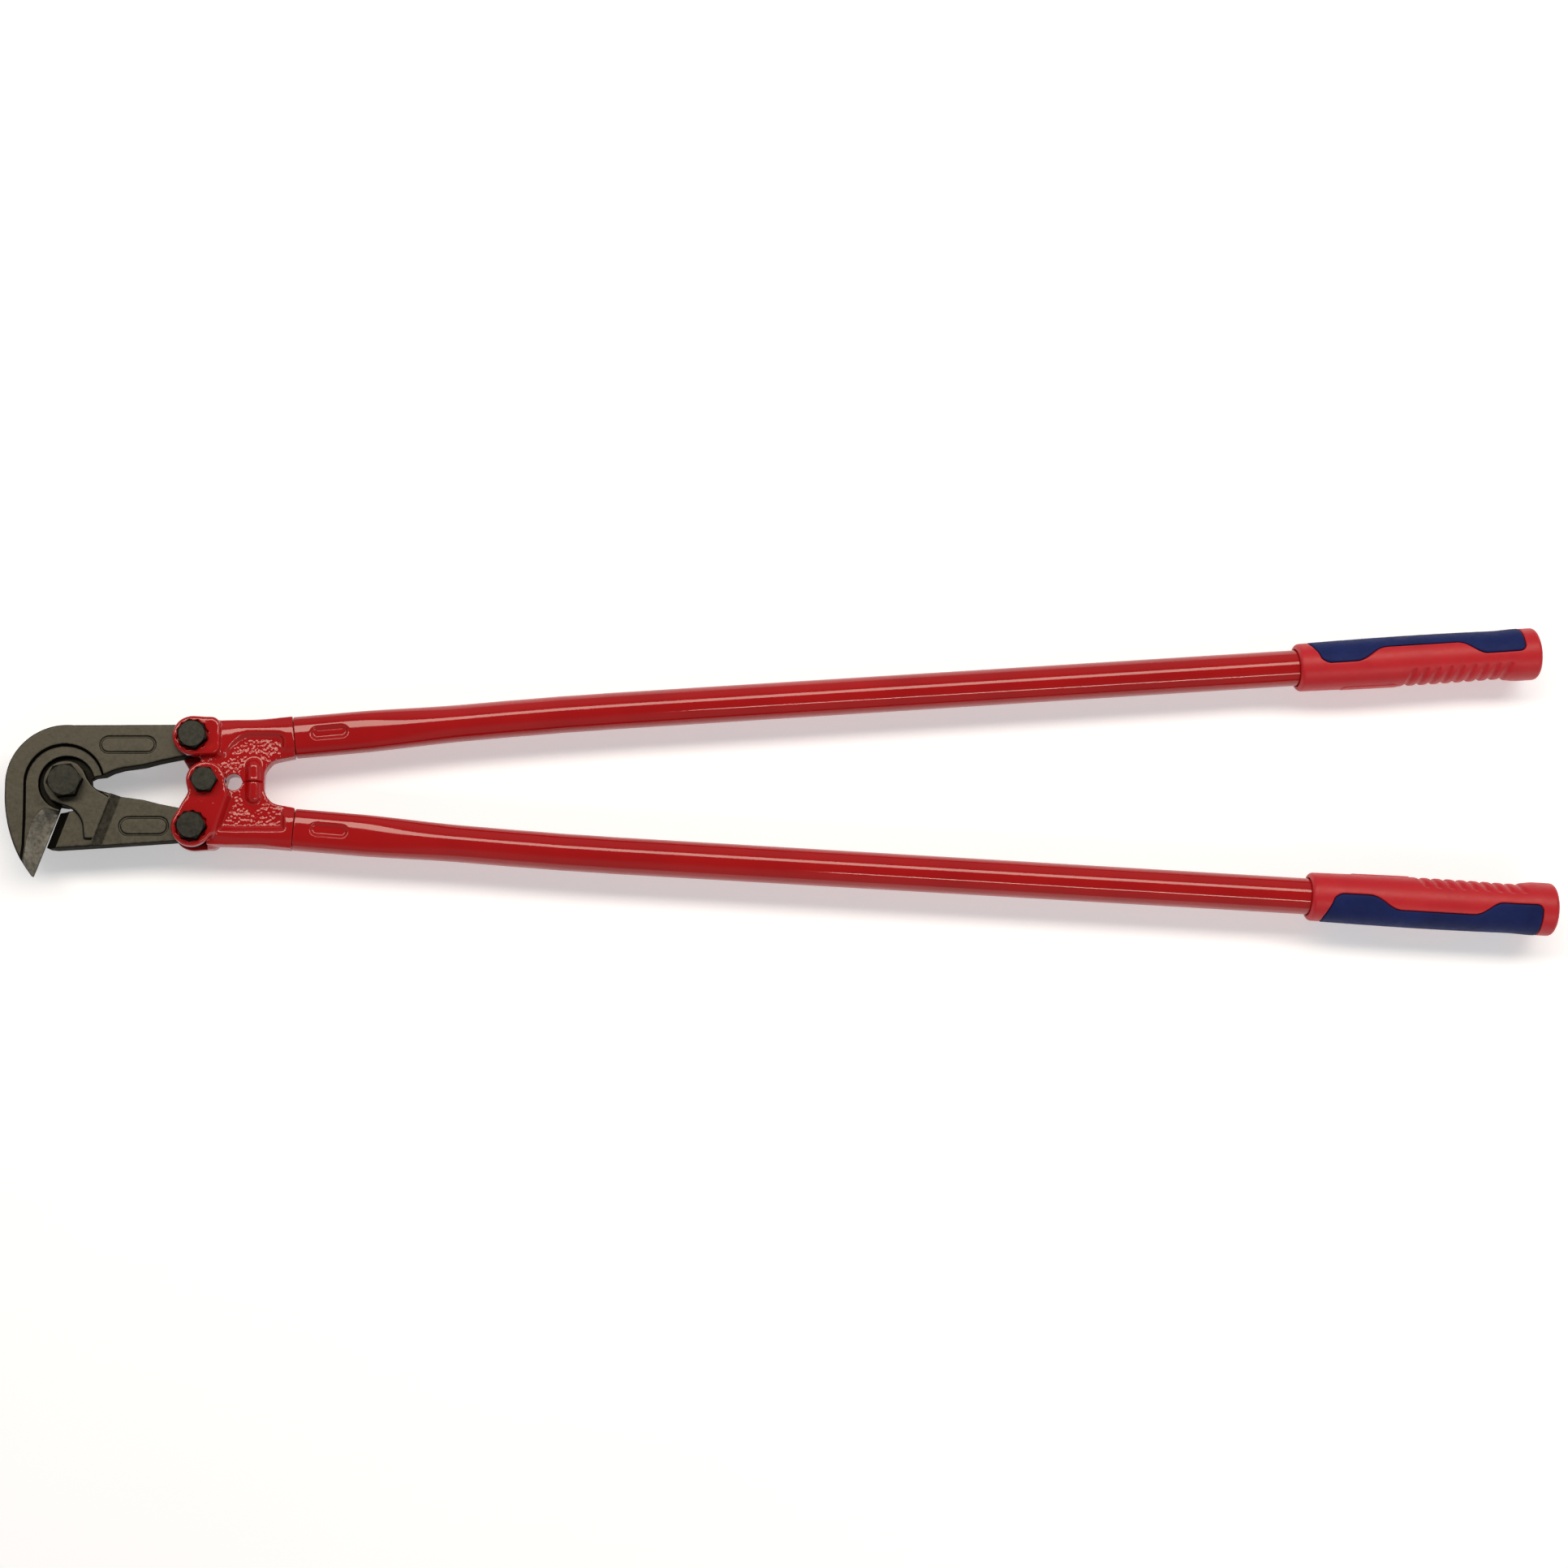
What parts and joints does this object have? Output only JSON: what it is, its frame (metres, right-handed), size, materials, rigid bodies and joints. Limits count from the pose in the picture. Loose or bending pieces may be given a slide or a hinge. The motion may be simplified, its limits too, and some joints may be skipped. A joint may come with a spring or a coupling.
{
  "type": "bolt cutter",
  "caption": "Long-handled concrete mesh and bolt cutter: angled hook jaw and straight lower jaw driven by two cast levers with tube handles in a kite linkage.",
  "frame": {"origin": "centre of the bounding box at its lowest face: the plane of the rear bolt ends that the tool lies on", "axes": "+X along the tool from the jaws to the grips, +Y towards the upper handle, +Z out of the front face with the bolt heads"},
  "size_m": [0.95, 0.1994, 0.0442],
  "materials": {
    "phosphated_steel": "matte dark phosphate",
    "bolt_steel": "satin dark phosphate",
    "red_paint": "gloss",
    "red_plastic": "satin",
    "blue_soft_plastic": "matte, fine grain"
  },
  "bodies": {
    "lower_handle": {"lower_lever": "red_paint", "lower_tube": "red_paint", "lower_grip": "red_plastic", "lower_grip_inlay": "blue_soft_plastic", "centre_bolt": "bolt_steel", "centre_bolt_washer": "bolt_steel", "centre_bolt_nut": "bolt_steel", "lower_adjuster": "bolt_steel", "lower_adjuster_washer": "bolt_steel", "lower_adjuster_nut": "bolt_steel"},
    "upper_handle": {"upper_lever": "red_paint", "upper_tube": "red_paint", "upper_grip": "red_plastic", "upper_grip_inlay": "blue_soft_plastic", "upper_adjuster": "bolt_steel", "upper_adjuster_washer": "bolt_steel", "upper_adjuster_nut": "bolt_steel"},
    "hook_jaw": {"hook_jaw": "phosphated_steel"},
    "lower_jaw": {"lower_jaw": "phosphated_steel", "jaw_bolt": "bolt_steel", "jaw_bolt_washer": "bolt_steel", "jaw_bolt_nut": "bolt_steel"}
  },
  "joints": [
    {"name": "handle_hinge", "type": "hinge", "parent": "lower_handle", "child": "upper_handle", "pos_m": [-0.35731, 0, 0.0249], "axis": [0, 0, 1], "range_deg": [0, 80]},
    {"name": "hook_jaw_hinge", "type": "hinge", "parent": "upper_handle", "child": "hook_jaw", "pos_m": [-0.36471, 0.0276, 0.0249], "axis": [0, 0, 1], "range_deg": [-48.5, 0]},
    {"name": "lower_jaw_hinge", "type": "hinge", "parent": "lower_handle", "child": "lower_jaw", "pos_m": [-0.36471, -0.0276, 0.0249], "axis": [0, 0, 1], "range_deg": [0, 48.5]}
  ],
  "couplings": [
    {"joint": "hook_jaw_hinge", "follows": "handle_hinge", "ratio": -0.60518},
    {"joint": "lower_jaw_hinge", "follows": "handle_hinge", "ratio": 0.60518}
  ]
}
